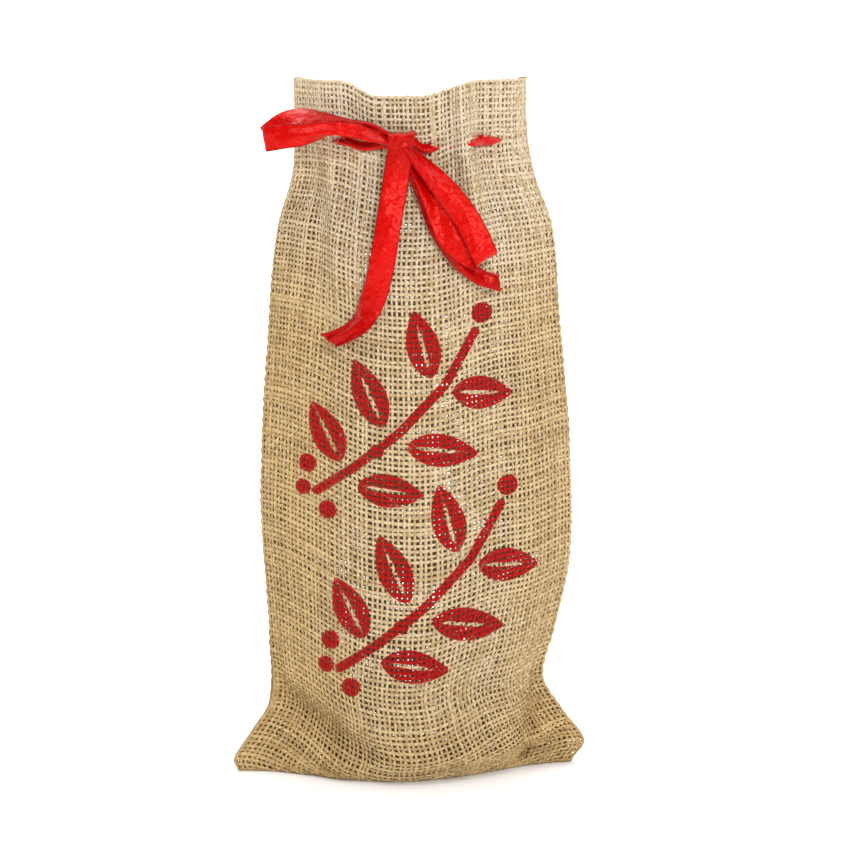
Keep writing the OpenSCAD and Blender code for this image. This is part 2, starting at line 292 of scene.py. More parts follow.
def part_for_ribbon(side, grid):
    """Pushes the weave apart above and below where the ribbon goes through it."""
    for t in SLOTS[side]:
        x, _, z = skin(side, t, RIBBON_Z)
        dx, dz = grid[..., 0] - x, grid[..., 2] - z
        near = bump(dx / PARTED_X) * bump(dz / PARTED_Z)
        grid[..., 2] += PARTING * np.tanh(dz / PARTED_SOFT) * near
    return grid


SEAM_T = 0.985     # the hem stops this far along t, just short of the side seams
NECK_HALF = 51     # about half the width of the neck


def hem_grid(side, panel):
    """The hem: over the rim and down inside, column by column with the panel."""
    rim = panel[-1]
    middle, half_rim = place_x(0, BAG_H), place_x(1, BAG_H) - place_x(0, BAG_H)
    t = np.clip((rim[:, 0] - middle) / half_rim, -SEAM_T, SEAM_T)
    down = np.arange(1, 2 * HEM_ROWS + 1)[:, None] * WEFT_STEP / 2
    # Its yarns lie behind the panel's holes.
    aside = WARP_STEP / 2 / NECK_HALF * smooth(down / 5)
    inner = skin(side, np.clip(t + aside, -SEAM_T, SEAM_T), BAG_H - down, CLOTH_IN + HEM_GAP)
    over = skin(side, t, BAG_H, CLOTH_IN + HEM_GAP / 2)[None]
    over[..., 2] += HEM_RISE
    return np.concatenate([rim[None], over, inner])


def directions(grid, side):
    """Unit vectors across, along and out of the cloth at each point of a grid."""
    across = unit(np.gradient(grid, axis=1))
    along = unit(np.gradient(grid, axis=0))
    return across, along, unit(np.cross(along, across)) * side


# ---- Meshes ----
def make_object(name, points, faces, material, values, flat=()):
    """A mesh piece from points in millimetres, with values stored at them.

    faces is a list of arrays of faces, and flat says which of the arrays are flat-shaded."""
    mesh = bpy.data.meshes.new(name)
    mesh.vertices.add(len(points))
    mesh.vertices.foreach_set("co", (points * MM).astype(np.float32).ravel())
    loops = np.concatenate([part.ravel() for part in faces])
    sizes = np.concatenate([np.full(len(part), part.shape[1]) for part in faces])
    rounded_off = np.concatenate([np.full(len(part), i not in flat) for i, part in enumerate(faces)])
    starts = np.concatenate([[0], np.cumsum(sizes)[:-1]])
    mesh.loops.add(len(loops))
    mesh.loops.foreach_set("vertex_index", loops.astype(np.int32))
    mesh.polygons.add(len(sizes))
    mesh.polygons.foreach_set("loop_start", starts.astype(np.int32))
    mesh.polygons.foreach_set("use_smooth", rounded_off)
    for key, data in values.items():
        kind, field = ("FLOAT_VECTOR", "vector") if data.ndim == 2 else ("FLOAT", "value")
        stored = mesh.attributes.new(key, kind, "POINT")
        stored.data.foreach_set(field, data.astype(np.float32).ravel())
    mesh.update(calc_edges=True)
    mesh.validate()
    mesh.materials.append(material)
    piece = bpy.data.objects.new(name, mesh)
    bpy.context.scene.collection.objects.link(piece)
    return piece


def volume(points, quads):
    a, b, c, d = (points[quads[:, i]] for i in range(4))
    return float((a * np.cross(b, c)).sum() + (a * np.cross(c, d)).sum())


def tubes(centres, across, out, half_w, half_t, sides):
    """Tubes along rows of centres (tubes, rings, 3), with flattened round sections."""
    count, rings = centres.shape[:2]
    angle = 2 * math.pi * (np.arange(sides) + 0.5) / sides
    c, s = np.cos(angle), np.sin(angle)
    half_w = np.broadcast_to(half_w, (count, rings))[..., None, None]
    half_t = np.broadcast_to(half_t, (count, rings))[..., None, None]
    ring = centres[:, :, None] + across[:, :, None] * half_w * c[:, None]
    ring = ring + out[:, :, None] * half_t * s[:, None]
    first = (np.arange(count)[:, None, None] * rings + np.arange(rings - 1)[:, None]) * sides
    k = np.arange(sides)
    a, b = first + k, first + (k + 1) % sides
    quads = np.stack([a, b, b + sides, a + sides], axis=-1).reshape(-1, 4)
    low = np.arange(count)[:, None] * rings * sides + k[::-1]
    high = np.arange(count)[:, None] * rings * sides + (rings - 1) * sides + k
    points = ring.reshape(-1, 3)
    caps = np.concatenate([low, high])
    if volume(points, quads) < 0:
        quads, caps = quads[:, ::-1], caps[:, ::-1]
    return points, quads, caps


def yarn_values(centres, half_w, sides):
    """For the yarn material: a place round and along the yarn, and a slowly changing shade."""
    count, rings = centres.shape[:2]
    angle = 2 * math.pi * (np.arange(sides) + 0.5) / sides
    steps = np.linalg.norm(np.diff(centres, axis=1), axis=-1)
    along = np.concatenate([np.zeros((count, 1)), np.cumsum(steps, axis=1)], axis=1)
    # Each yarn starts at its own place in the pattern.
    along = along + 60 * np.arange(count)[:, None]
    place = np.empty((count, rings, sides, 3))
    place[..., 0] = np.cos(angle) * half_w[..., None]
    place[..., 1] = np.sin(angle) * half_w[..., None]
    place[..., 2] = along[..., None]
    tone = 0.7 * wobble(count, rings, (0, 9)) + 0.35 * rng.standard_normal((count, 1))
    shade = np.repeat(tone[..., None], sides, axis=2)
    facing = np.broadcast_to(np.sin(angle), shade.shape)
    return {"yarn": place.reshape(-1, 3), "shade": shade.ravel(), "facing": facing.ravel()}


def warmth(points):
    """How golden the jute is: most at the left side and the base, least in the middle of the neck."""
    x, z = points[:, 0], points[:, 2]
    aside = smooth((-8 - x) / 45) + 0.6 * smooth((x - 30) / 30)
    return np.clip(0.42 + 0.48 * aside + 0.35 * smooth((70 - z) / 70) - 0.55 * smooth((z - 190) / 70), 0, 1)


def painted_rim_light(points):
    """How much painted light brightens the jute at the left end of the rim, where its fold faces away from
    the lamps.
    """
    x, z = points[:, 0], points[:, 2]
    return 2.4 * smooth((z - 280) / 9) * smooth((-22 - x) / 8)


def fullness(centres):
    """How much the yarns spread: the mesh closes up down the left side, but for the fold at the neck."""
    closed = 0.12 - 0.3 * bump((centres[..., 2] - 250) / 18)
    return 1 + closed * smooth((-25 - centres[..., 0]) / 18)


def yarns(name, centres, across, out, half_w, material, paint=None):
    """Yarns along rows of centres, thicker and thinner along the way and from one to the next."""
    count, rings = centres.shape[:2]
    along_it = 0.1 * wobble(count, rings, (0, 4))
    one_to_next = 0.08 * rng.standard_normal((count, 1))
    size = 1 + along_it + one_to_next
    wide = half_w * np.clip(size, 0.7, 1.45) * fullness(centres)
    thick = YARN_T * np.clip(size, 0.8, 1.2)
    points, quads, caps = tubes(centres, across, out, wide, thick, YARN_SIDES)
    values = yarn_values(centres, wide, YARN_SIDES)
    values["warm"] = warmth(points) + 0.1 * values["shade"]
    # Painted light: the left end of the rim is made paler through the shade attribute.
    values["shade"] += painted_rim_light(points)
    if paint is not None:
        # The paint was pressed on from outside, so it stops round the side of a yarn.
        values["paint"] = paint(points) + 2.2 * smooth(-1.4 * values["facing"])
    return make_object(name, points, [quads, caps], material, values, flat=(1,))


def weave(name, grid, side, material, half_w=FRONT_YARN, paint=None):
    """Warp and weft yarns of a plain weave on a grid with two steps to each yarn."""
    across, along, out = directions(grid, side)
    rows, columns = grid.shape[:2]
    row, column = np.mgrid[0:rows, 0:columns]
    # At a crossing the yarns pass over and under by turns, and between them they cross the middle.
    over = np.where((row // 2 + column // 2) % 2 == 0, 1.0, -1.0) * CRIMP
    lie = grid + across * (WARP_WANDER * wobble(rows, columns, (9, 0)))[..., None]
    warps = slice(0, columns, 2)
    rise = np.where(row % 2 == 0, over, 0)[:, warps, None]
    centres = lie[:, warps] + out[:, warps] * rise
    warp = yarns(name + "_warp", centres.transpose(1, 0, 2), across[:, warps].transpose(1, 0, 2),
                 out[:, warps].transpose(1, 0, 2), half_w, material, paint)
    lie = grid + along * (WEFT_WANDER * wobble(rows, columns, (0, 9)))[..., None]
    wefts = slice(0, rows, 2)
    rise = np.where(column % 2 == 0, -over, 0)[wefts, :, None]
    weft = yarns(name + "_weft", lie[wefts] + out[wefts] * rise, along[wefts], out[wefts],
                 half_w * WEFT_FULLER, material, paint)
    return [warp, weft]


def frames(path):
    """Directions across and out for tubes along paths (tubes, rings, 3)."""
    along = unit(np.gradient(path, axis=1))
    up = np.where(np.abs(along[..., 2:]) > 0.9, [1.0, 0, 0], [0, 0, 1.0])
    across = unit(np.cross(along, up))
    return across, np.cross(along, across)


def threads(name, paths, material):
    """Sewing threads along paths (threads, rings, 3)."""
    across, out = frames(paths)
    points, quads, caps = tubes(paths, across, out, THREAD_R, THREAD_R, THREAD_SIDES)
    values = yarn_values(paths, np.full(paths.shape[:2], THREAD_R), THREAD_SIDES)
    return make_object(name, points, [quads, caps], material, values, flat=(1,))


# ---- Sewing ----
STITCH_T, STITCH_STEP = 0.9, 0.06  # the first and last hem stitch and the step between, along t
STITCH_HALF = 0.019    # half the length of a hem stitch, along t
STITCH_UP = 3          # from the hem's lower edge up to its stitches
STITCH_IN, STITCH_LIFT = 0.3, 0.95 # how deep a stitch's ends lie, and its middle above them
MARGIN_START = 52      # the height at which the side seams' margins start
MARGIN_END = BAG_H - HEM_H - 14    # and at which they end
MARGIN_IN = 2.6        # from the seam to the margin
MARGIN_W = 8
MARGIN_GAP = 0.55      # half the distance between the two layers of a side seam's margin
BOTTOM_GAP = 0.5       # the same for the bottom seam
BOTTOM_T = 0.72        # how far along t the bottom seam's margin reaches
BOTTOM_LIE = CLOTH_T + 0.7         # height of the bottom seam's margin
OVERLOCK_HALF_W, BOTTOM_OVERLOCK_HALF_W = 4.3, 4.1
OVERLOCK_HALF_T = 1.35


def hem_stitches(name, side, material):
    """Running stitches, each dipping into the cloth at both its ends."""
    middle = np.arange(-STITCH_T, STITCH_T + 0.001, STITCH_STEP)[:, None]
    s = np.linspace(-1, 1, 9)
    t = middle + s * STITCH_HALF
    inset = STITCH_IN - STITCH_LIFT * np.sqrt(np.maximum(1 - s ** 4, 0))
    drift = 0.12 * rng.standard_normal(t.shape[0])[:, None]
    level = BAG_H - HEM_H + STITCH_UP + drift + 0 * t
    return threads(name, skin(side, t, level, inset), material)


def margin_grid(hand, layer):
    """One layer of a side seam's margin, which lies inside the bag along the seam."""
    z = np.arange(MARGIN_START, MARGIN_END, WEFT_STEP / 2)[:, None]
    inward = MARGIN_IN + np.arange(MARGIN_W + 1)
    edge = place_x(hand, z)
    wave = 0.35 * np.sin(z / 9 + hand) * (inward / 10)
    y = seam_y(hand, z) + layer * MARGIN_GAP + wave
    return np.stack(np.broadcast_arrays(edge - hand * inward, y, z + 0 * inward), axis=-1)


def bottom_margin_grid(layer):
    t = np.linspace(-BOTTOM_T, BOTTOM_T, 99)[None, :]
    outward = np.linspace(-MARGIN_W / 2, MARGIN_W / 2, MARGIN_W + 1)[:, None]
    height = BOTTOM_LIE + layer * BOTTOM_GAP + 0 * t * outward
    return np.stack(np.broadcast_arrays(place_x(t, 0), seam_y(t, 0) + outward, height), axis=-1)


def overlock(name, centres, half_w, wide, thick, material):
    """A thread wound round a margin: centres along it, and its directions."""
    turns = len(centres) // 2
    s = np.linspace(0, 1, turns * 12)
    angle = 2 * math.pi * turns * s
    at = s * (len(centres) - 1)
    line = np.stack([np.interp(at, np.arange(len(centres)), centres[:, k]) for k in range(3)], axis=-1)
    w = np.sign(np.cos(angle)) * np.abs(np.cos(angle)) ** 0.6
    t = np.sign(np.sin(angle)) * np.abs(np.sin(angle)) ** 0.6
    path = line + wide * (half_w * w)[:, None] + thick * (OVERLOCK_HALF_T * t)[:, None]
    return threads(name, path[None], material)


# ---- Ribbon ----
RIBBON_COLUMNS = 20    # strips across a ribbon
RIBBON_ROW = 0.8       # length of a strip along it
# How much longer a pleated line is than a straight one, for each steepness of its pleats
SLOPES = np.linspace(0, 9, 91)
ARCS = np.sqrt(1 + (SLOPES[:, None] * np.sin(np.linspace(0, math.pi, 41))) ** 2).mean(axis=1)


def rounded(points, steps=6):
    """A smooth path through rows of [x, y, z, lean in degrees]."""
    p = np.array(points, float)
    i = np.arange(len(p) - 1)
    a, b, c, d = (p[np.clip(i + k, 0, len(p) - 1)][:, None] for k in (-1, 0, 1, 2))
    s = (np.arange(steps) / steps)[None, :, None]
    line = (2 * b + (c - a) * s + (2 * a - 5 * b + 4 * c - d) * s ** 2
            + (3 * b - a - 3 * c + d) * s ** 3) / 2
    return np.concatenate([line.reshape(-1, 4), p[-1:]])


def ribbon_grid(path, upright, kept, pleats, phase, ripple, cup=None, cut=None, full=1.0):
    """A ribbon along a path: a grid of points, how far along it each is, and its length.

    upright is where its width points, before the path's lean turns it about the path.
    kept is the share of its width that it keeps along the way; the rest goes into pleats.
    cup is how far its middle stands out, as a share of its half width.
    cut is how much shorter it is than its path, across its end.
    full is the share of its width that shows, where the rest is tucked away out of sight.
    pleats is their number, phase where they start, and ripple how uneven the ribbon is."""
    line = rounded(path)
    centre = line[:, :3]
    along = unit(np.gradient(centre, axis=0))
    lean = np.radians(line[:, 3:])
    aim = np.array(upright) * np.cos(lean) + np.cross(along, upright) * np.sin(lean)
    wide = unit(aim - along * (aim * along).sum(axis=1, keepdims=True))
    thick = unit(np.cross(along, wide))
    far = np.concatenate([[0], np.cumsum(np.linalg.norm(np.diff(centre, axis=0), axis=1))])
    u = np.linspace(-1, 1, RIBBON_COLUMNS + 1)
    rows = round(far[-1] / RIBBON_ROW)
    ends = far[-1] - (cut(u) if cut else 0 * u)
    s = np.linspace(0, 1, rows + 1)[:, None] * ends
    share = np.clip(curve(kept, s / far[-1]), 0.2, 1.1)
    half = RIBBON_W / 2 * share
    pleat = np.interp(full / share, ARCS, SLOPES) * half / (math.pi * pleats)
    lift = pleat * np.cos(math.pi * pleats * u + phase + 0.6 * np.sin(s / 9))
    if cup:
        lift = lift + half * curve(cup, s / far[-1]) * (1 - u * u)
    lift = lift + ripple * wobble(rows + 1, RIBBON_COLUMNS + 1, (7, 5))

    def at(table):
        return np.stack([np.interp(s, far, table[:, k]) for k in range(3)], axis=-1)

    return at(centre) + at(wide) * (half * u)[..., None] + at(thick) * lift[..., None], s, far[-1]


def ribbon(name, path, upright, kept, painted_shade, material, **shape):
    """A closed satin strip; the table after kept gives how far painted shade deepens its red along the way.
    """
    grid, s, length = ribbon_grid(path, upright, kept, **shape)
    rows, columns = grid.shape[:2]
    normal = unit(np.cross(np.gradient(grid, axis=0), np.gradient(grid, axis=1)))
    points = np.concatenate([(grid + normal * k * RIBBON_T / 2).reshape(-1, 3) for k in (1, -1)])
    index = np.arange(rows * columns).reshape(rows, columns)
    corners = [index[:-1, :-1], index[1:, :-1], index[1:, 1:], index[:-1, 1:]]
    upper = np.stack(corners, axis=-1).reshape(-1, 4)
    rim = np.concatenate([index[0], index[1:, -1], index[-1, -2::-1], index[-2:0:-1, 0]])
    after = np.roll(rim, -1)
    edge = np.stack([rim, after, after + rows * columns, rim + rows * columns], axis=-1)
    faces = [upper, upper[:, ::-1] + rows * columns, edge]
    if volume(points, np.concatenate(faces)) < 0:
        faces = [part[:, ::-1] for part in faces]
    across = np.broadcast_to(np.linspace(-RIBBON_W / 2, RIBBON_W / 2, columns), s.shape)
    place = np.stack([across, s, 0 * s], axis=-1).reshape(-1, 3)
    # How far painted shade deepens the red, along the ribbon.
    painted_darkness = curve(painted_shade, np.clip(s / length, 0, 1)).ravel()
    values = {"strip": np.concatenate([place, place]), "painted_darkness": np.concatenate([painted_darkness, painted_darkness])}
    piece = make_object(name, points, faces, material, values, flat=(2,))
    return piece, length


RIDE_OUT = CLOTH_T + 1.2   # from the middle of the cloth to the ribbon on either side of it
SLOT_HALF = 0.035          # half the length of a crossing through the weave, along t
TURN_X = 42.2              # where the drawstring turns from the front to the back, inside the seams


def drawn(side, t, out):
    """A station of the drawstring: 1 outside the cloth, -1 inside it."""
    return [*skin(side, t, RIBBON_Z, CLOTH_T / 2 - out * RIDE_OUT), 0]


def crossing(side, t, before):
    """Two stations that take the drawstring through the cloth, from the side that before says."""
    d = SLOT_HALF if side == FRONT else -SLOT_HALF
    return [drawn(side, t - d, before), drawn(side, t + d, -before)]


DRAWSTRING = [
    *crossing(FRONT, 0.22, 1), *crossing(FRONT, 0.5, -1), drawn(FRONT, 0.62, 1),
    *crossing(FRONT, 0.74, 1), drawn(FRONT, 0.82, -1),
    *([TURN_X, y, RIBBON_Z, 0] for y in (-6, 0, 6)),
    drawn(BACK, 0.8, -1), *crossing(BACK, 0.7, -1), drawn(BACK, 0.5, 1), *crossing(BACK, 0.3, 1),
    drawn(BACK, 0.1, -1), drawn(BACK, -0.1, -1),
    *crossing(BACK, -0.3, -1), drawn(BACK, -0.5, 1), *crossing(BACK, -0.7, 1), drawn(BACK, -0.8, -1),
    *([-TURN_X, y, RIBBON_Z, 0] for y in (6, 0, -6)),
    drawn(FRONT, -0.78, -1), *crossing(FRONT, -0.62, -1),
]
KNOT = (-4.2, -32.5, 278.4)
LEFT_RUN = [drawn(FRONT, -0.62, 0), drawn(FRONT, -0.55, 1), drawn(FRONT, -0.4, 1.1),
            [KNOT[0] - 4.9, KNOT[1] + 1.6, KNOT[2], 0], [KNOT[0] - 1, KNOT[1] + 1, KNOT[2], 0]]
RIGHT_RUN = [[KNOT[0] + 1, KNOT[1] + 1, KNOT[2], 0], [KNOT[0] + 4.9, KNOT[1] + 1.2, KNOT[2], 0],
             drawn(FRONT, 0.1, 1.1), drawn(FRONT, 0.16, 1), drawn(FRONT, 0.22, 0)]
KNOT_WRAP = [
    [-4.3, -31.6, 275.2, 0], [-4.2, -30.8, 277.5, 0], [-4, -31, 280.4, 0], [-3.8, -33, 282.4, 0],
    [-3.6, -35.8, 283, 0], [-3.8, -38.2, 281.4, 0], [-4.2, -38, 278.4, 0], [-4.6, -37.2, 275.4, 0],
    [-4.6, -34.8, 274.2, 0], [-4.4, -32.4, 274.3, 0], [-4.3, -31.2, 276, 0],
]
LEFT_LOOP = [
    [-5.5, -33.5, 278.5, 0], [-10.5, -34, 280.5, 0], [-17, -32.5, 283, 10], [-25, -31, 284, 25],
    [-32, -29.5, 285.5, 42], [-39, -27.5, 288, 56], [-46, -26, 289.5, 62], [-52.5, -25.5, 287.5, 48],
    [-57.5, -26, 283.5, 26], [-61.5, -27, 280, 10], [-62, -30, 279.5, 4], [-53.5, -33, 281, -6],
    [-46, -35, 281.8, 0], [-39, -36, 283, 14], [-32, -36.5, 283.3, 34], [-25, -37, 283, 42],
    [-17, -36.6, 281.2, 30], [-11, -35.6, 280, 10], [-6, -34.6, 278.5, 0],
]
RIGHT_LOOP = [
    [-2, -35.2, 276.5, 0], [1.2, -36.2, 273, 0], [5, -37, 269, 0], [11, -39.5, 263, 0],
    [17.5, -41.5, 255.5, 0], [23.5, -43, 247.5, 0], [28, -44.5, 239.5, 0], [30.5, -46, 234, 0],
    [32, -45.5, 230.5, 0], [31, -43.5, 229.5, 0], [28, -42, 230, 0], [24, -41.5, 232, 0],
    [19.5, -41.5, 235.5, 0], [15.5, -41, 241, 0], [12, -39.5, 249, 0], [8.5, -37.5, 257, 0],
    [4.5, -35.5, 265.5, 0], [1, -34.4, 271, 0], [-2, -34, 275, 0],
]
LONG_TAIL = [
    [-4.2, -35.2, 280.5, 0], [-4.4, -36.1, 276, 0], [-4.8, -36, 271.5, 0], [-6, -36.6, 264, 0],
    [-7, -37.8, 257.5, 2], [-9, -40, 245.5, 4], [-11, -41, 233, 6], [-13.5, -40.2, 220.5, 12],
    [-16.5, -39, 210.5, 26], [-20.5, -38, 202.5, 46], [-26, -36.5, 197.5, 60], [-32, -34.5, 194.5, 68],
    [-38, -32, 193, 70],
]
SHORT_TAIL = [
    [-3, -32.6, 275.5, 0], [-0.5, -32.5, 271, 0], [3.5, -33.5, 263.5, 0], [8.5, -35, 253.5, 0],
    [12.5, -36.5, 243.5, 0], [17.5, -38, 234.5, 6], [23, -38.5, 226.5, 16], [29.5, -38, 221.5, 36],
    [36, -37, 219, 50], [40.5, -35.5, 217, 56],
]


# ---- Stencilled ornament: two leafy sprigs with berries, one above the other ----
STEM_HALF, LEAF_HALF, SLIT_HALF = 2.1, 7.4, 0.75
STEM = [[0, 0], [17, 12], [37, 28], [57, 49], [70, 72]]
LEAVES = [
    [[11, 14], [-2, 40]], [[30, 30], [17, 60]], [[51, 52], [43, 82]],
    [[18, 4], [48, 0]], [[40, 22], [72, 18]], [[60, 46], [87, 44]],
]
# Berries as [x, z], radius, and sprigs as [x, z] of the stem's foot, scale
BERRIES = [[[73, 80], 4.6], [[-4, 12], 4.2], [[5, -8], 4.2], [[-6, 1], 3.6], [[27, 19.5], 3.2]]
SPRIGS = [[[-41, 127], 0.98], [[-31, 50], 1.0]]


def leaf(x, z, root, tip):
    """A pointed leaf, slit along its vein as a stencil is."""
    across, s = to_segment(x, z, root, tip)
    half = LEAF_HALF * np.sin(math.pi * np.clip(s, 0, 1) ** 0.82) ** 0.8
    slit = SLIT_HALF * smooth((0.8 - s) / 0.2) * smooth((s - 0.12) / 0.1)
    return np.maximum(across - half, slit - across)


def ornament(points):
    """Distance outside the ornament's edge, negative inside it."""
    best = np.full(len(points), 99.0)
    for place, scale in SPRIGS:
        x = (points[:, 0] - place[0]) / scale
        z = (points[:, 2] - place[1]) / scale
        for a, b in zip(STEM[:-1], STEM[1:]):
            best = np.minimum(best, to_segment(x, z, a, b)[0] - STEM_HALF)
        for root, tip in LEAVES:
            best = np.minimum(best, leaf(x, z, root, tip))
        for (cx, cz), radius in BERRIES:
            best = np.minimum(best, np.hypot(x - cx, z - cz) - radius)
    return best


# ---- Loose fibres ----
FIBRES = 650           # on each panel
FIBRE_R = 0.075        # half thickness at its root
FIBRE_LOWEST = 0.3     # no fibre goes below this height


def fibres(name, grid, side, count, material):
    """Hairs that stand away from the cloth, each on its own curve."""
    across, along, out = directions(grid, side)
    row = rng.integers(4, grid.shape[0], count)
    column = rng.integers(0, grid.shape[1], count)
    length = rng.uniform(2.0, 7.5, count)[:, None, None]
    heading = rng.uniform(0, 2 * math.pi, count)[:, None]
    bend = rng.uniform(-1, 1, count)[:, None]
    rise = rng.uniform(0.05, 0.6, count)[:, None, None]
    a, b, n = across[row, column], along[row, column], out[row, column]
    forward = a * np.cos(heading) + b * np.sin(heading)
    aside = b * np.cos(heading) - a * np.sin(heading)
    s = np.linspace(0, 1, 6)[None, :, None]
    lift = n[:, None] * (0.35 + length * rise * s * (1 - 0.35 * s))
    paths = grid[row, column][:, None] + lift
    paths = paths + length * forward[:, None] * s * (1 - 0.3 * rise)
    paths = paths + length * (aside * bend)[:, None] * 0.5 * s ** 2
    paths[..., 2] = np.maximum(paths[..., 2], FIBRE_LOWEST)
    across_path, out_path = frames(paths)
    radius = FIBRE_R * (1 - 0.7 * s[..., 0]) * np.ones((count, 1))
    points, quads, caps = tubes(paths, across_path, out_path, radius, radius, FIBRE_SIDES)
    values = yarn_values(paths, radius, FIBRE_SIDES)
    values["warm"] = warmth(points)
    return make_object(name, points, [quads, caps], material, values)


# ---- Materials ----
def new_material(name):
    material = bpy.data.materials.new(name)
    material.use_nodes = True
    tree = material.node_tree
    return material, tree, tree.nodes["Principled BSDF"]


def feed(tree, socket, value):
    if isinstance(value, tuple):
        socket.default_value = (*value, 1)
    elif isinstance(value, (int, float)):
        socket.default_value = value
    else:
        tree.links.new(value, socket)


def math_node(tree, operation, *values):
    node = tree.nodes.new("ShaderNodeMath")
    node.operation = operation
    for i, value in enumerate(values):
        feed(tree, node.inputs[i], value)
    return node.outputs[0]


def mix_colour(tree, share, a, b):
    node = tree.nodes.new("ShaderNodeMix")
    node.data_type = "RGBA"
    feed(tree, node.inputs[0], share)
    feed(tree, node.inputs[6], a)
    feed(tree, node.inputs[7], b)
    return node.outputs[2]


def noise_node(tree, vector, scale, detail=2.0, rough=0.55):
    node = tree.nodes.new("ShaderNodeTexNoise")
    node.inputs["Scale"].default_value = scale
    node.inputs["Detail"].default_value = detail
    node.inputs["Roughness"].default_value = rough
    tree.links.new(vector, node.inputs["Vector"])
    return node.outputs["Fac"]


def ramp(tree, value, low, high):
    node = tree.nodes.new("ShaderNodeMapRange")
    node.interpolation_type = "SMOOTHSTEP"
    node.inputs["From Min"].default_value = low
    node.inputs["From Max"].default_value = high
    tree.links.new(value, node.inputs["Value"])
    return node.outputs["Result"]


def attribute(tree, name, output="Fac"):
    node = tree.nodes.new("ShaderNodeAttribute")
    node.attribute_name = name
    return node.outputs[output]


def stretched(tree, vector, scale):
    node = tree.nodes.new("ShaderNodeMapping")
    node.inputs["Scale"].default_value = scale
    tree.links.new(vector, node.inputs["Vector"])
    return node.outputs[0]


def bumped(tree, shader, height, distance, strength):
    node = tree.nodes.new("ShaderNodeBump")
    node.inputs["Strength"].default_value = strength
    node.inputs["Distance"].default_value = distance * MM
    tree.links.new(height, node.inputs["Height"])
    tree.links.new(node.outputs[0], shader.inputs["Normal"])


def twisted_fibres(tree, turn):
    """Streaks that wind round a yarn, from its place attribute."""
    place = attribute(tree, "yarn", "Vector")
    parts = tree.nodes.new("ShaderNodeSeparateXYZ")
    tree.links.new(place, parts.inputs[0])
    twist = tree.nodes.new("ShaderNodeVectorRotate")
    twist.rotation_type = "Z_AXIS"
    tree.links.new(place, twist.inputs["Vector"])
    tree.links.new(math_node(tree, "MULTIPLY", parts.outputs[2], turn), twist.inputs["Angle"])
    return place, noise_node(tree, stretched(tree, twist.outputs[0], (1, 1, 0.16)), 5.5, 3.0, 0.6)


CREAM = (0.80, 0.71, 0.54)
TAN = (0.55, 0.40, 0.21)
GOLD = (0.72, 0.52, 0.24)
DEEP_GOLD = (0.46, 0.29, 0.11)
BROWN = (0.30, 0.17, 0.07)
PAINTED_UNDERSIDE_SHADE = (0.34, 0.21, 0.10)
PAINT_DARK = (0.24, 0.001, 0.001)
PAINT_LIGHT = (0.54, 0.006, 0.005)
THREAD_DARK = (0.55, 0.38, 0.2)
THREAD_LIGHT = (0.9, 0.76, 0.54)
SATIN_DARK = (0.31, 0.0005, 0.0005)
SATIN_LIGHT = (0.78, 0.003, 0.002)
SATIN_EDGE = (0.34, 0.001, 0.001)
# The red that painted shade on the satin tends towards
SATIN_PAINTED_SHADE = (0.12, 0.0, 0.0)


def jute_material(name, printed=False):
    """Twisted jute yarn: streaks that wind round it, and tones that change along it."""
    material, tree, shader = new_material(name)
    place, streaks = twisted_fibres(tree, 1.3)
    blotch = noise_node(tree, place, 0.45)
    tone = math_node(tree, "MULTIPLY_ADD", attribute(tree, "shade"), 0.13, blotch)
    level = ramp(tree, tone, 0.25, 0.68)
    warm = attribute(tree, "warm")
    low = mix_colour(tree, warm, TAN, DEEP_GOLD)
    high = mix_colour(tree, warm, CREAM, GOLD)
    pale = mix_colour(tree, level, low, high)
    streaked = mix_colour(tree, ramp(tree, streaks, 0.30, 0.60), BROWN, pale)
    colour = mix_colour(tree, 0.7, pale, streaked)
    # Painted shade: the side of each yarn that faces into the cloth is darkened towards brown, standing in
    # for the weave's own shadow.
    colour = mix_colour(tree, ramp(tree, attribute(tree, "facing"), 0.35, -0.75), colour, PAINTED_UNDERSIDE_SHADE)
    if printed:
        # The paint's edge is frayed by the streaks, and small spots of yarn are missed.
        fray = math_node(tree, "MULTIPLY_ADD", streaks, 1.5, -0.75)
        outside = math_node(tree, "ADD", attribute(tree, "paint"), fray)
        missed = ramp(tree, noise_node(tree, place, 1.1, 3.0, 0.7), 0.66, 0.72)
        taken = math_node(tree, "SUBTRACT", 1.0, missed)
        painted = math_node(tree, "MULTIPLY", ramp(tree, outside, 0.15, -0.15), taken)
        red = mix_colour(tree, streaks, PAINT_DARK, PAINT_LIGHT)
        colour = mix_colour(tree, painted, colour, red)
    tree.links.new(colour, shader.inputs["Base Color"])
    shader.inputs["Roughness"].default_value = 0.8
    shader.inputs["Specular IOR Level"].default_value = 0.14
    shader.inputs["Sheen Weight"].default_value = 0.05
    shader.inputs["Sheen Roughness"].default_value = 0.5
    bumped(tree, shader, streaks, 0.14, 0.7)
    return material


def thread_material():
    material, tree, shader = new_material("natural_thread")
    _, streaks = twisted_fibres(tree, 4.0)
    colour = mix_colour(tree, streaks, THREAD_DARK, THREAD_LIGHT)
    tree.links.new(colour, shader.inputs["Base Color"])
    shader.inputs["Roughness"].default_value = 0.7
    bumped(tree, shader, streaks, 0.08, 0.6)
    return material


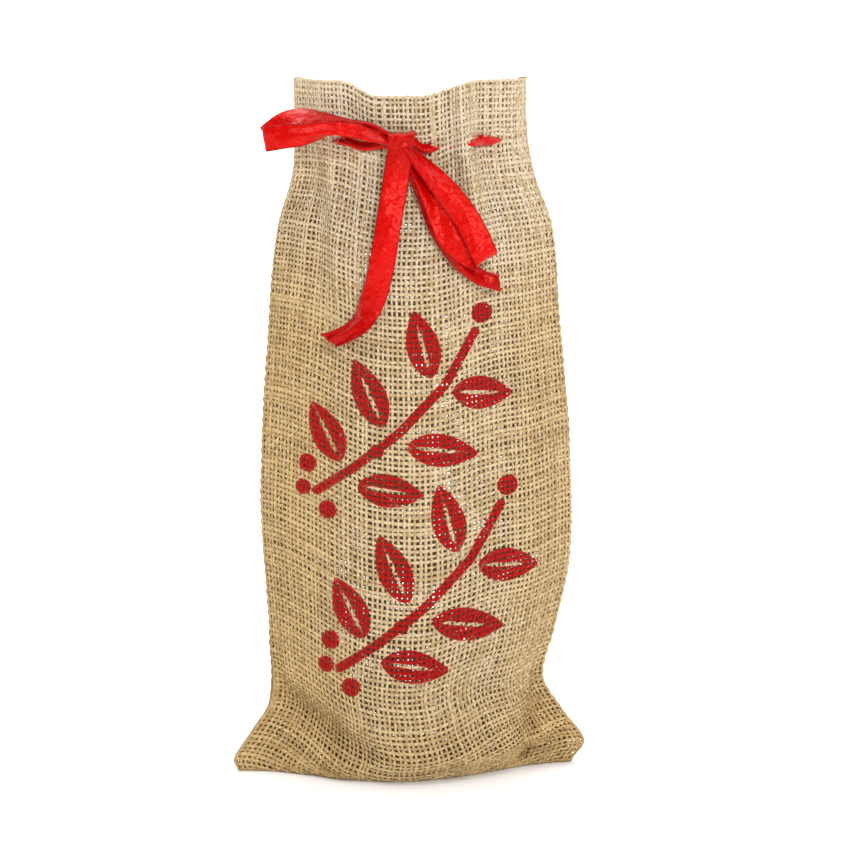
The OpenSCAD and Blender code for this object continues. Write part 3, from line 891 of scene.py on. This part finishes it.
def satin_material():
    """Crumpled satin: fine threads across it, and a grain that breaks up its gloss."""
    material, tree, shader = new_material("red_satin")
    place = attribute(tree, "strip", "Vector")
    grain = noise_node(tree, stretched(tree, place, (1.7, 1.1, 1.0)), 1.4, 4.0, 0.7)
    weft = noise_node(tree, stretched(tree, place, (0.25, 5.0, 1.0)), 1.0, 2.0, 0.5)
    crumple = noise_node(tree, place, 0.22, 2.0, 0.5)
    colour = mix_colour(tree, ramp(tree, grain, 0.3, 0.7), SATIN_DARK, SATIN_LIGHT)
    parts = tree.nodes.new("ShaderNodeSeparateXYZ")
    tree.links.new(place, parts.inputs[0])
    aside = math_node(tree, "ABSOLUTE", parts.outputs[0])
    colour = mix_colour(tree, ramp(tree, aside, 4.6, 5.0), colour, SATIN_EDGE)
    # Painted shade: the red is deepened where a ribbon lies in shade, at the knot, the tails and parts of
    # the loops.
    colour = mix_colour(tree, attribute(tree, "painted_darkness"), colour, SATIN_PAINTED_SHADE)
    tree.links.new(colour, shader.inputs["Base Color"])
    tree.links.new(math_node(tree, "MULTIPLY_ADD", grain, 0.24, 0.17), shader.inputs["Roughness"])
    shader.inputs["Specular IOR Level"].default_value = 0.9
    shader.inputs["Specular Tint"].default_value = (1.0, 0.12, 0.1, 1)
    relief = math_node(tree, "MULTIPLY", grain, 0.07)
    relief = math_node(tree, "ADD", relief, math_node(tree, "MULTIPLY", weft, 0.03))
    relief = math_node(tree, "MULTIPLY_ADD", crumple, 1.5, relief)
    bumped(tree, shader, relief, 1.0, 0.9)
    return material


JUTE = jute_material("natural_jute")
PRINTED_JUTE = jute_material("printed_jute", printed=True)
THREAD = thread_material()
SATIN = satin_material()


def install(pieces, node, body="bag"):
    """Hands pieces in for a CAD node; body is None for one that spans two bodies, which is left unattached.
    """
    for piece in pieces:
        if body:
            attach(piece, body)
        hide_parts(node)


# ---- The pouch ----
front_grid = cloth_grid(FRONT)
back_grid = cloth_grid(BACK)
front = weave("front_panel", front_grid, FRONT, PRINTED_JUTE, paint=ornament)
back = weave("back_panel", back_grid, BACK, JUTE, half_w=BACK_YARN)
front_hem = weave("front_hem", hem_grid(FRONT, front_grid), FRONT, JUTE)
back_hem = weave("back_hem", hem_grid(BACK, back_grid), BACK, JUTE)
install(front, "front_panel")
install(back, "back_panel")
install(front_hem, "front_hem")
install(back_hem, "back_hem")

ALONG_X, ALONG_Y, ALONG_Z = np.eye(3)
LAYERS = ((-1, "_1"), (1, "_2"))
for hand, word in ((-1, "left"), (1, "right")):
    for layer, number in LAYERS:
        pieces = weave(word + "_seam_margin" + number, margin_grid(hand, layer), BACK, JUTE)
        install(pieces, word + "_seam_margin")
    levels = np.arange(MARGIN_START + 4, MARGIN_END - 4, 3.0)
    middle_x = place_x(hand, levels) - hand * (MARGIN_IN + MARGIN_W / 2)
    middles = np.stack([middle_x, seam_y(hand, levels), levels], axis=-1)
    wound = overlock(word + "_seam_overlock", middles, OVERLOCK_HALF_W, ALONG_X, ALONG_Y, THREAD)
    install([wound], word + "_seam_stitching")
for layer, number in LAYERS:
    pieces = weave("bottom_seam_margin" + number, bottom_margin_grid(layer), BACK, JUTE)
    install(pieces, "bottom_seam_margin")
t = np.linspace(-BOTTOM_T + 0.03, BOTTOM_T - 0.03, 37)
middles = np.stack([place_x(t, 0), seam_y(t, 0), np.full(len(t), BOTTOM_LIE + 0.1)], axis=-1)
wound = overlock("bottom_seam_overlock", middles, BOTTOM_OVERLOCK_HALF_W, ALONG_Y, ALONG_Z, THREAD)
install([wound], "bottom_seam_stitching")
front_stitches = hem_stitches("front_hem_stitches", FRONT, THREAD)
back_stitches = hem_stitches("back_hem_stitches", BACK, THREAD)
install([front_stitches], "front_hem_stitching")
install([back_stitches], "back_hem_stitching")
for name, grid, side in (("front_fibres", front_grid, FRONT), ("back_fibres", back_grid, BACK)):
    piece = fibres(name, grid, side, FIBRES, JUTE)
    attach(piece, "bag")


# ---- The drawstring and its bow ----
def steady(value):
    """A table for curve() with one value all along."""
    return [[0, value], [1, value]]


def slanted(u):
    """How much shorter a tail is at u across it, for a slanting cut."""
    return 3.2 * (1 + u)


def ragged(u):
    """The same for a slanting cut with a nick in it."""
    return 2.4 * (1 + u) + 1.8 * bump((u - 0.3) / 0.25)


UPRIGHT, LEVEL = [0, 0, 1], [1, 0, 0]
# kept, the painted shade table and cup are tables of [share of the length, value]; the painted shade
# deepens a ribbon's red.
# bend gives where a ribbon starts and ends to follow the second of its bodies; only whether it is given is
# read here, and such a ribbon is left unattached, its placement baked into its mesh.
RIBBONS = [
    dict(name="drawstring_ribbon", node="drawstring", path=DRAWSTRING, upright=UPRIGHT,
         kept=steady(0.44), painted_shade=steady(0), bodies=["bag"],
         shape=dict(pleats=1, phase=0.7, ripple=0.12, full=0.76)),
    dict(name="left_lead_ribbon", node="left_lead", path=LEFT_RUN, upright=UPRIGHT,
         kept=[[0, 0.34], [0.4, 0.36], [1, 0.5]], painted_shade=steady(0),
         bodies=["bag", "bow"], bend=[(-24, -30, 278), (-10, -31, 277)],
         shape=dict(pleats=1, phase=0.8, ripple=0.14, full=0.74)),
    dict(name="right_lead_ribbon", node="right_lead", path=RIGHT_RUN, upright=UPRIGHT,
         kept=steady(0.38), painted_shade=steady(0),
         bodies=["bag", "bow"], bend=[(8, -31, 278), (1, -31, 277)],
         shape=dict(pleats=1, phase=0.5, ripple=0.12, full=0.74)),
    dict(name="knot_wrap", node="bow_knot", path=KNOT_WRAP, upright=LEVEL,
         kept=[[0, 0.95], [0.35, 1.08], [0.6, 1.06], [1, 0.9]], painted_shade=steady(0.3),
         bodies=["bow"], shape=dict(pleats=2, phase=0.7, ripple=0.35, full=1.12)),
    dict(name="left_loop_ribbon", node="left_loop", path=LEFT_LOOP, upright=UPRIGHT,
         kept=[[0, 0.5], [0.06, 0.62], [0.2, 0.9], [0.3, 1], [0.58, 1], [0.64, 0.94], [0.7, 0.8],
               [0.82, 0.52], [1, 0.5]],
         painted_shade=[[0, 0.45], [0.3, 0.4], [0.42, 0.05], [0.8, 0], [1, 0.35]],
         bodies=["bow", "left_loop"], bend=[(-8, -34.5, 279.5), (-15, -35, 281)],
         shape=dict(pleats=1, phase=0.6, ripple=0.35,
                    cup=[[0, 0.1], [0.25, -0.12], [0.5, 0.05], [0.75, 0.16], [1, 0.1]])),
    dict(name="right_loop_ribbon", node="right_loop", path=RIGHT_LOOP, upright=[0.85, 0, 0.52],
         kept=[[0, 0.5], [0.1, 0.74], [0.2, 0.98], [0.3, 1.04], [0.5, 1.04], [0.72, 0.95],
               [0.9, 0.7], [1, 0.5]],
         painted_shade=[[0, 0.3], [0.12, 0.05], [0.5, 0], [1, 0]],
         bodies=["bow", "right_loop"], bend=[(1.5, -36, 272.5), (8, -38, 265.5)],
         shape=dict(pleats=1, phase=0.5, ripple=0.35,
                    cup=[[0, 0.1], [0.3, 0.22], [0.5, 0.05], [0.75, -0.12], [1, 0]])),
    dict(name="long_tail_ribbon", node="long_tail", path=LONG_TAIL, upright=LEVEL,
         kept=[[0, 1.04], [0.3, 1.04], [0.8, 1], [1, 0.62]],
         painted_shade=[[0, 0.3], [0.08, 0.3], [0.18, 0], [0.6, 0], [0.75, 0.25], [1, 0.4]],
         bodies=["bow", "long_tail"], bend=[(-4.4, -35.8, 277), (-5.8, -35.6, 268)],
         shape=dict(pleats=2, phase=0.3, ripple=0.35, cut=slanted,
                    cup=[[0, 0.06], [0.2, 0.1], [0.45, 0.14], [0.8, 0.2], [1, 0.4]])),
    dict(name="short_tail_ribbon", node="short_tail", path=SHORT_TAIL, upright=[0.9, 0, 0.43],
         kept=[[0, 0.5], [0.15, 0.75], [0.4, 1], [0.7, 0.85], [1, 0.45]], painted_shade=steady(0.4),
         bodies=["bow", "short_tail"], bend=[(-1.5, -32.6, 272.5), (3.6, -33, 261)],
         shape=dict(pleats=1, phase=1.2, ripple=0.35, cut=ragged, cup=[[0, 0], [0.6, 0.15], [1, 0.3]])),
]
for r in RIBBONS:
    piece, length = ribbon(r["name"], r["path"], r["upright"], r["kept"], r["painted_shade"], SATIN, **r["shape"])
    bends = "bend" in r
    install([piece], r["node"], None if bends else r["bodies"][0])
    if bends:
        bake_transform(piece)

# ---- Stage ----
FLOOR_GLOW = 0.7       # how brightly the floor glows in the distance
BACKDROP_GLOW = 0.8
WORLD_LIGHT = 0.225
WHITE = (1, 1, 1, 1)
PALE = (0.96, 0.96, 0.96, 1)
PAPER = (0.9, 0.9, 0.9, 1)

bpy.ops.mesh.primitive_plane_add(size=200, location=(0, 0, 0))
floor = bpy.context.object
floor.name = "floor"
floor_material, floor_tree, floor_shader = new_material("pale_floor")
floor_shader.inputs["Base Color"].default_value = PALE
floor_shader.inputs["Roughness"].default_value = 0.9
# The floor brightens into the distance, as a studio's lit sweep does.
spot = floor_tree.nodes.new("ShaderNodeNewGeometry")
reach = floor_tree.nodes.new("ShaderNodeVectorMath")
reach.operation = "LENGTH"
floor_tree.links.new(spot.outputs["Position"], reach.inputs[0])
glow = math_node(floor_tree, "MULTIPLY", ramp(floor_tree, reach.outputs["Value"], 0.9, 3.0), FLOOR_GLOW)
floor_tree.links.new(glow, floor_shader.inputs["Emission Strength"])
floor_shader.inputs["Emission Color"].default_value = WHITE
floor.data.materials.append(floor_material)

bpy.ops.mesh.primitive_plane_add(size=16, location=(0, 2.6, 4), rotation=(math.pi / 2, 0, 0))
backdrop = bpy.context.object
backdrop.name = "backdrop"
backdrop_material, _, backdrop_shader = new_material("lit_paper")
backdrop_shader.inputs["Base Color"].default_value = PAPER
backdrop_shader.inputs["Emission Color"].default_value = WHITE
backdrop_shader.inputs["Emission Strength"].default_value = BACKDROP_GLOW
backdrop.data.materials.append(backdrop_material)

world = bpy.data.worlds.new("studio")
bpy.context.scene.world = world
world.use_nodes = True
world.node_tree.nodes["Background"].inputs["Color"].default_value = WHITE
world.node_tree.nodes["Background"].inputs["Strength"].default_value = WORLD_LIGHT


def area_light(name, place, target, size, power):
    data = bpy.data.lights.new(name, "AREA")
    data.size = size
    data.energy = power
    lamp = bpy.data.objects.new(name, data)
    lamp.location = place
    lamp.rotation_euler = (Vector(target) - Vector(place)).to_track_quat("-Z", "Y").to_euler()
    bpy.context.scene.collection.objects.link(lamp)


area_light("key", place=(0.4, -1.8, 0.95), target=(0, 0, 0.17), size=0.5, power=22.2)
area_light("overhead", place=(0, 0.4, 2.2), target=(0, 0.3, 0), size=3.0, power=62)

CAMERA_LENS = 148.3
CAMERA_PLACE = Vector((0.009, -1.55, 0.365))
CAMERA_AIM = Vector((0.009, -0.035, 0.1544))
camera_data = bpy.data.cameras.new("camera")
camera_data.lens = CAMERA_LENS
camera = bpy.data.objects.new("camera", camera_data)
camera.location = CAMERA_PLACE
camera.rotation_euler = (CAMERA_AIM - CAMERA_PLACE).to_track_quat("-Z", "Y").to_euler()
bpy.context.scene.collection.objects.link(camera)
bpy.context.scene.camera = camera
bpy.context.scene.view_settings.view_transform = "Standard"
